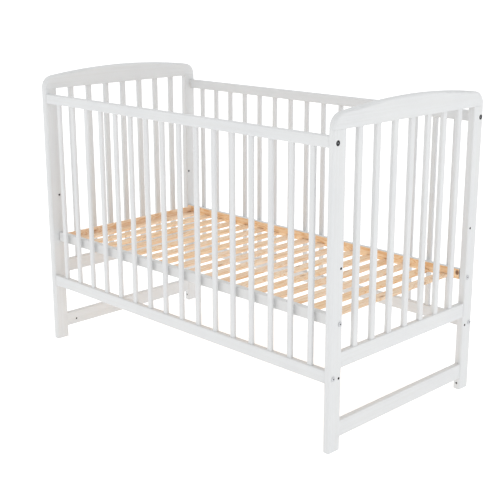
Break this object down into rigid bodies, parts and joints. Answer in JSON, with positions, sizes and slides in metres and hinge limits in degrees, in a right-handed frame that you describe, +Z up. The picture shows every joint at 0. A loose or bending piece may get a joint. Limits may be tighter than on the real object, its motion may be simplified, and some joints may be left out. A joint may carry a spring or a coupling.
{
  "type": "baby cot",
  "caption": "White wooden cot with arched ends, spindled ends and sides, and a slatted pine mattress base that bolts in at several heights.",
  "frame": {"origin": "on the floor, midway between the four feet", "axes": "+X along the length towards the right end, +Y from the front side to the rear side, +Z up"},
  "size_m": [1.252, 0.648, 0.917],
  "materials": {
    "white_paint": "satin white paint on pine",
    "base_board": "pine, painted white on the outer face and edges",
    "pine": "planed and unpainted",
    "beech": "fluted beech dowel, glued",
    "black_steel": "black oxide",
    "zinc_steel": "bright zinc plate"
  },
  "bodies": {
    "frame": {"arch_left": "white_paint", "arch_right": "white_paint", "barrel_nuts": "zinc_steel", "dowels": "beech", "end_rail_left": "white_paint", "end_rail_right": "white_paint", "post_left_front": "white_paint", "post_left_rear": "white_paint", "post_right_front": "white_paint", "post_right_rear": "white_paint", "side_bolts_bottom": "zinc_steel", "side_bolts_top": "black_steel", "side_rail_bottom_front": "white_paint", "side_rail_bottom_rear": "white_paint", "side_rail_top_front": "white_paint", "side_rail_top_rear": "white_paint", "side_spindles_front": "white_paint", "side_spindles_rear": "white_paint", "spindle_left_1": "white_paint", "spindle_left_2": "white_paint", "spindle_left_3": "white_paint", "spindle_left_4": "white_paint", "spindle_left_5": "white_paint", "spindle_left_6": "white_paint", "spindle_left_7": "white_paint", "spindle_right_1": "white_paint", "spindle_right_2": "white_paint", "spindle_right_3": "white_paint", "spindle_right_4": "white_paint", "spindle_right_5": "white_paint", "spindle_right_6": "white_paint", "spindle_right_7": "white_paint", "stretcher_left": "white_paint", "stretcher_right": "white_paint"},
    "mattress_base": {"base_board_front": "base_board", "base_board_rear": "base_board", "base_end_strip": "pine", "base_inserts": "zinc_steel", "slat_01": "pine", "slat_02": "pine", "slat_03": "pine", "slat_04": "pine", "slat_05": "pine", "slat_06": "pine", "slat_07": "pine", "slat_08": "pine", "slat_09": "pine", "slat_10": "pine", "slat_11": "pine", "slat_12": "pine", "slat_13": "pine", "slat_14": "pine", "slat_15": "pine", "slat_16": "pine", "slat_17": "pine", "slat_nails": "zinc_steel"},
    "bolts_left": {"base_bolts_left": "zinc_steel"},
    "bolts_right": {"base_bolts_right": "zinc_steel"}
  },
  "joints": [
    {"name": "mattress_base_height", "type": "slide", "parent": "frame", "child": "mattress_base", "axis": [0, 0, 1], "range_m": [-0.1485, 0.1485]},
    {"name": "bolts_left_out", "type": "slide", "parent": "frame", "child": "bolts_left", "axis": [-1, 0, 0], "range_m": [0, 0.03]},
    {"name": "bolts_right_out", "type": "slide", "parent": "frame", "child": "bolts_right", "axis": [1, 0, 0], "range_m": [0, 0.03]}
  ]
}
